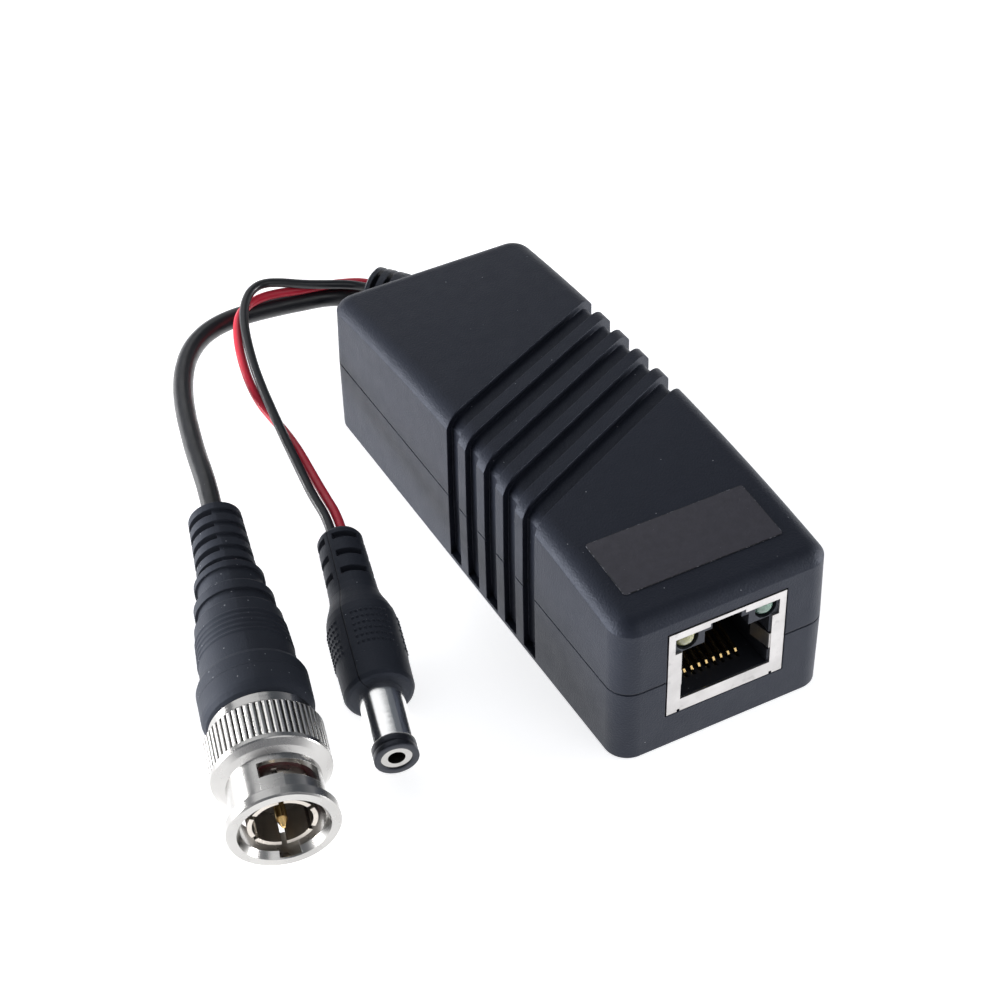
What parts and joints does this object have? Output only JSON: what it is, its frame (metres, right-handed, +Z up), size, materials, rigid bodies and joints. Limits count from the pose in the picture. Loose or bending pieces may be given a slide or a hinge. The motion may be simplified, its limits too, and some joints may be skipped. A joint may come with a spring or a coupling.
{
  "type": "cctv video balun",
  "caption": "Passive video balun in a two-shell housing with a modular socket, a bayonet plug on a coaxial lead and a barrel power plug on twin wires.",
  "frame": {"origin": "on the surface it rests on, under the middle of the housing", "axes": "-Y is the face with the modular socket, +Y the end where the cables leave, +Z up; the plugs lie on the -X side"},
  "size_m": [0.0759, 0.0902, 0.0229],
  "materials": {
    "housing": "fine spark-eroded grain",
    "sticker": "plain matt film",
    "shield": "satin tin plate",
    "insert": "moulded",
    "lamp_amber": "clear tinted",
    "lamp_green": "clear tinted",
    "board": "solder mask",
    "ferrite": "sintered",
    "winding": "enamelled wire",
    "component_sleeve": "shrink sleeve",
    "arrester": "plated",
    "fuse_coat": "dipped",
    "moulded_rubber": "matt moulded",
    "cable_jacket": "extruded",
    "red_jacket": "extruded",
    "cable_core": "extruded",
    "nickel": "nickel plate",
    "gasket": "moulded",
    "dielectric": "turned",
    "gold": "gold plate",
    "tip_plastic": "moulded"
  },
  "bodies": {
    "balun": {"bnc_boot": "moulded_rubber", "bnc_centre_pin": "gold", "bnc_contact_sleeve": "nickel", "bnc_dielectric": "dielectric", "bnc_gasket": "gasket", "bnc_plug_body": "nickel", "bnc_snap_ring": "nickel", "bnc_spring_washer": "nickel", "cable_grommet": "moulded_rubber", "circuit_board": "board", "coax_cable": "cable_jacket", "coax_inner_end": "cable_core", "dc_barrel": "nickel", "dc_inner_contact": "nickel", "dc_inner_end_black": "cable_jacket", "dc_inner_end_red": "red_jacket", "dc_plug_body": "moulded_rubber", "dc_tip_insulator": "tip_plastic", "dc_wire_black": "cable_jacket", "dc_wire_red": "red_jacket", "drum_inductor": "ferrite", "electrolytic_capacitor": "component_sleeve", "jack_contact_1": "gold", "jack_contact_2": "gold", "jack_contact_3": "gold", "jack_contact_4": "gold", "jack_contact_5": "gold", "jack_contact_6": "gold", "jack_contact_7": "gold", "jack_contact_8": "gold", "jack_insert": "insert", "jack_shield": "shield", "label_sticker": "sticker", "lamp_left": "lamp_amber", "lamp_right": "lamp_green", "lower_shell": "housing", "resettable_fuse": "fuse_coat", "surge_arrester": "arrester", "transformer_core": "ferrite", "transformer_winding": "winding", "upper_shell": "housing"},
    "coupling_sleeve": {"bnc_coupling_sleeve": "nickel"}
  },
  "joints": [
    {"name": "coupling_spin", "type": "hinge", "parent": "balun", "child": "coupling_sleeve", "pos_m": [-0.05241, -0.02335, 0.00764], "axis": [-0.2614, -0.9595, -0.1045], "continuous": true}
  ]
}
